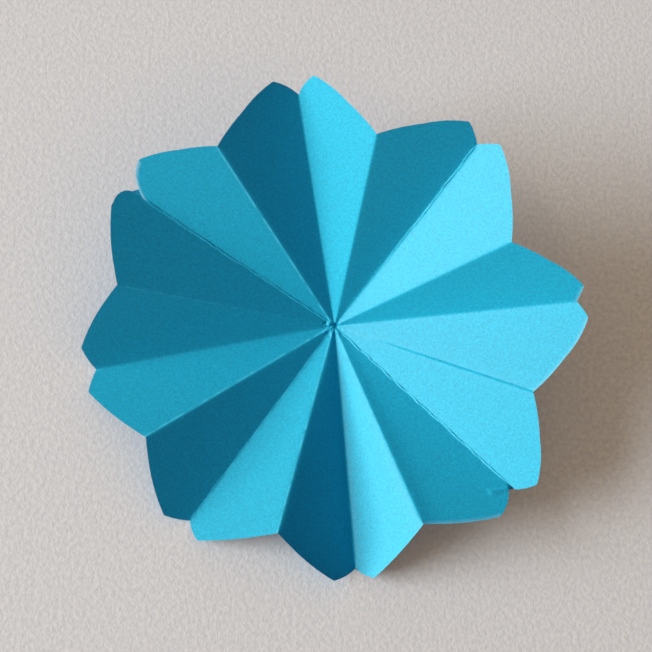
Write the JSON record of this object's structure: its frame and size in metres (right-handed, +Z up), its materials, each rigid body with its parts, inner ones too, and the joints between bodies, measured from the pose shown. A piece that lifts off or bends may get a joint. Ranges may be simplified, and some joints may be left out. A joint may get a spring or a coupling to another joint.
{
  "type": "paper flower",
  "caption": "Flower folded and cut from one disc of light card, with radial ridge and valley creases, notched petals and a shallow cup shape that rests tipped over.",
  "frame": {"origin": "underside of the middle, where the creases meet and the flower touches the table", "axes": "+Z up from the table, +X to the right and +Y to the top of the picture"},
  "size_m": [0.0929, 0.0892, 0.0382],
  "materials": {
    "card": "matte dyed card, turquoise blue"
  },
  "bodies": {
    "root": {"paper_flower": "card"}
  },
  "joints": []
}
